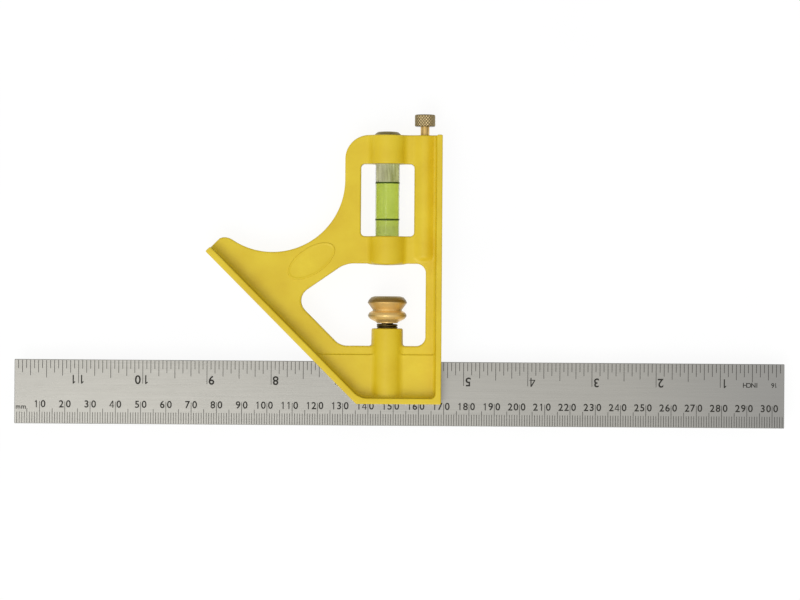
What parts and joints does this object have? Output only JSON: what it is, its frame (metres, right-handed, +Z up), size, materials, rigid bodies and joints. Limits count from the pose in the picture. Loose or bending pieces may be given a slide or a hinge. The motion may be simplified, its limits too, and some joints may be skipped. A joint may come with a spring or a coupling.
{
  "type": "combination square",
  "caption": "Carpenter's combination square: graduated steel rule sliding in a cast head with square and mitre faces, spirit level, brass lock nut and scriber.",
  "frame": {"origin": "centre of the footprint, on the surface that the tool lies on, on its back", "axes": "+X along the rule away from the square face, +Y towards the head's top and the scriber, +Z up, towards the head's front"},
  "size_m": [0.3048, 0.1232, 0.019],
  "materials": {
    "head_enamel": "satin yellow enamel on a zinc die casting, slightly uneven",
    "rule_steel": "satin, finely brushed along its length, with dark etched graduations",
    "bolt_steel": "dark turned steel",
    "spring_steel": "dark drawn wire",
    "knob_brass": "turned brass with knurled rims, light tarnish",
    "dull_brass": "tarnished brass",
    "needle_steel": "hardened steel, polished",
    "vial_clear": "clear",
    "vial_fluid": "clear yellow-green liquid",
    "vial_plug": "moulded",
    "line_ink": "black printed ring",
    "cushion_rubber": "matt"
  },
  "bodies": {
    "head": {"head_casting": "head_enamel", "vial_cushion": "cushion_rubber", "vial_barrel": "vial_clear", "vial_fluid": "vial_fluid", "vial_end_plug": "vial_plug", "vial_line_upper": "line_ink", "vial_line_lower": "line_ink", "vial_cap": "dull_brass", "scriber_bush": "dull_brass"},
    "rule": {"rule": "rule_steel"},
    "lock_bolt": {"lock_bolt": "bolt_steel"},
    "lock_spring": {"lock_spring": "spring_steel"},
    "lock_knob": {"lock_knob": "knob_brass"},
    "scriber": {"scriber_handle": "dull_brass", "scriber_needle": "needle_steel"}
  },
  "joints": [
    {"name": "rule_slide", "type": "slide", "parent": "head", "child": "rule", "axis": [1, 0, 0], "range_m": [-0.14, 0.14]},
    {"name": "bolt_draw", "type": "slide", "parent": "head", "child": "lock_bolt", "axis": [0, 1, 0], "range_m": [-0.0005, 0], "stiffness_N_per_m": 500, "springref_m": 0.003},
    {"name": "knob_travel", "type": "slide", "parent": "lock_bolt", "child": "lock_spring", "axis": [0, 1, 0], "range_m": [-0.0011, 0.00205], "deforming": ["lock_spring"]},
    {"name": "knob_turn", "type": "hinge", "parent": "lock_spring", "child": "lock_knob", "pos_m": [-0.005, -0.016, 0.0095], "axis": [0, 1, 0], "range_deg": [-390, 720]},
    {"name": "scriber_pull", "type": "slide", "parent": "head", "child": "scriber", "axis": [0, 1, 0], "range_m": [0, 0.045]}
  ],
  "couplings": [
    {"joint": "knob_travel", "follows": "knob_turn", "m_per_rad": 0.00015915}
  ]
}
